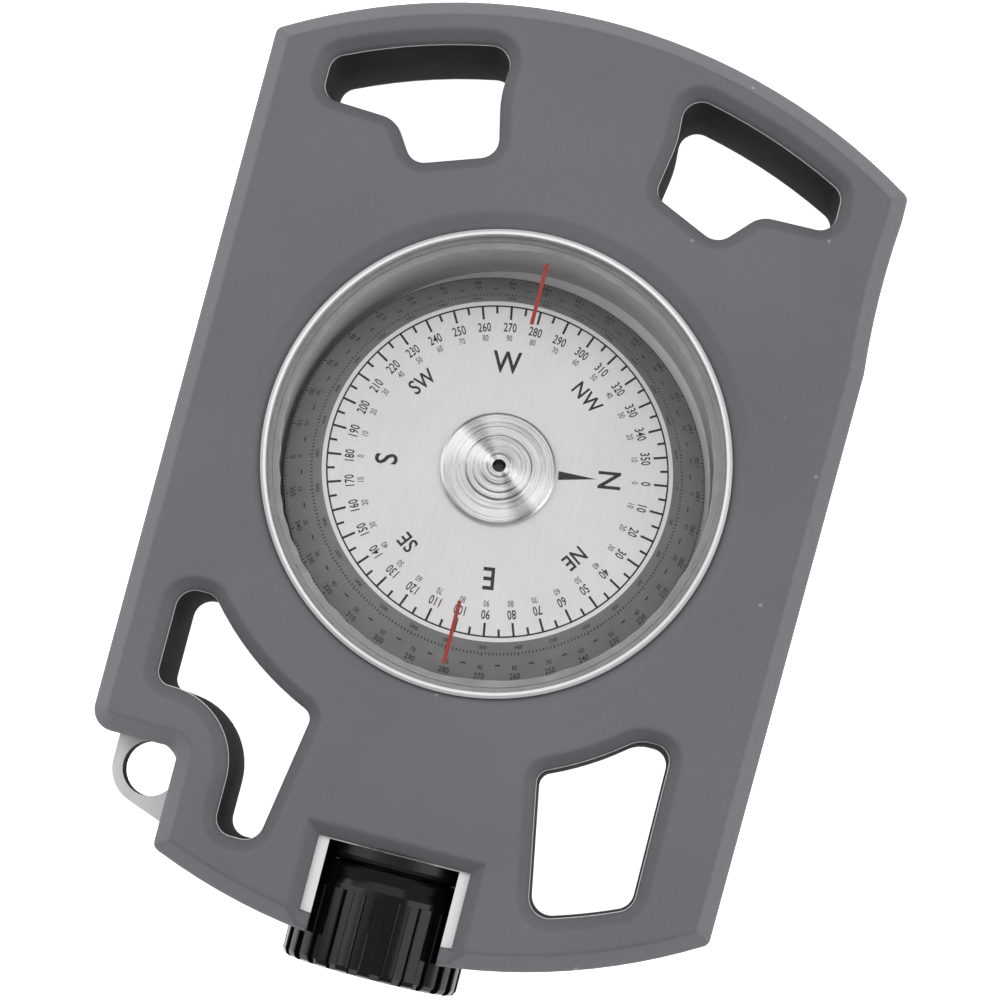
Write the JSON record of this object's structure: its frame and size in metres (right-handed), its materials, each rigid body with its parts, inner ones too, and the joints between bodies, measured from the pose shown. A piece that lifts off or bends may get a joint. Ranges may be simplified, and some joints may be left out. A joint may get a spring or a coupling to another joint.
{
  "type": "hand sighting compass",
  "caption": "Hand sighting compass in a grey rubber boot: floating card in a round capsule, read from above or through a focusing eyepiece, with a lanyard eye.",
  "frame": {"origin": "capsule axis on the back face", "axes": "+Z out of the dial, +Y from the eyepiece towards the far end, +X right when the dial is read from the eyepiece end"},
  "size_m": [0.0708, 0.106, 0.02],
  "materials": {
    "boot_rubber": "moulded matte",
    "frame_aluminium": "fine satin",
    "turned_aluminium": "turned, bright",
    "cover_aluminium": "satin",
    "dial_silver": "matte silvered, printed",
    "skirt_grey": "matte, printed",
    "clear_acrylic": "polished",
    "lens_glass": "polished",
    "index_red": "paint fill",
    "black_plastic": "moulded gloss",
    "black_anodised": "satin black",
    "black_rubber": "matte",
    "seal_rubber": "matte",
    "brass": "turned",
    "steel": "bright",
    "magnet_nickel": "nickel plated",
    "sapphire": "polished, looks dark"
  },
  "bodies": {
    "housing": {"boot_front": "boot_rubber", "boot_rear": "boot_rubber", "frame": "frame_aluminium", "rear_cover": "cover_aluminium", "rear_cover_screws": "steel", "capsule_cup": "turned_aluminium", "capsule_window": "clear_acrylic", "window_seal": "seal_rubber", "index_line_far": "index_red", "index_line_near": "index_red", "port_glass": "lens_glass", "sight_hairline": "steel", "diaphragm": "black_rubber", "diaphragm_clamp": "brass", "filler_screw": "brass", "pivot_post": "brass", "pivot_needle": "steel", "field_lens": "lens_glass", "field_lens_ring": "black_anodised", "eyepiece_barrel": "black_anodised", "barrel_grub_screw": "steel", "cell_key_pin": "steel", "focus_o_ring": "black_rubber"},
    "jewel": {"jewel_cup": "sapphire"},
    "bush": {"jewel_bush": "brass"},
    "card": {"card_disc": "dial_silver", "card_skirt": "skirt_grey", "card_hub": "turned_aluminium", "card_magnet": "magnet_nickel"},
    "lens_carrier": {"lens_cell": "black_anodised", "eye_lens": "lens_glass", "cell_ring": "black_anodised"},
    "knob": {"focus_knob": "black_plastic", "eye_ring": "black_anodised"}
  },
  "joints": [
    {"name": "card_pitch", "type": "hinge", "parent": "housing", "child": "jewel", "pos_m": [0, 0, 0.012], "axis": [1, 0, 0], "range_deg": [-0.8, 18.4]},
    {"name": "card_roll", "type": "hinge", "parent": "jewel", "child": "bush", "pos_m": [0, 0, 0.012], "axis": [0, 0.9871, -0.1599], "range_deg": [-7.2, 0.4]},
    {"name": "card_spin", "type": "hinge", "parent": "bush", "child": "card", "pos_m": [0, 0, 0.012], "axis": [0.0593, 0.1596, 0.9854], "continuous": true},
    {"name": "focus_travel", "type": "slide", "parent": "housing", "child": "lens_carrier", "axis": [0, -1, 0], "range_m": [0, 0.0025]},
    {"name": "focus_turn", "type": "hinge", "parent": "lens_carrier", "child": "knob", "pos_m": [0, -0.05, 0.01], "axis": [0, -1, 0], "range_deg": [0, 225]}
  ],
  "couplings": [
    {"joint": "focus_travel", "follows": "focus_turn", "m_per_rad": 0.0006366}
  ]
}
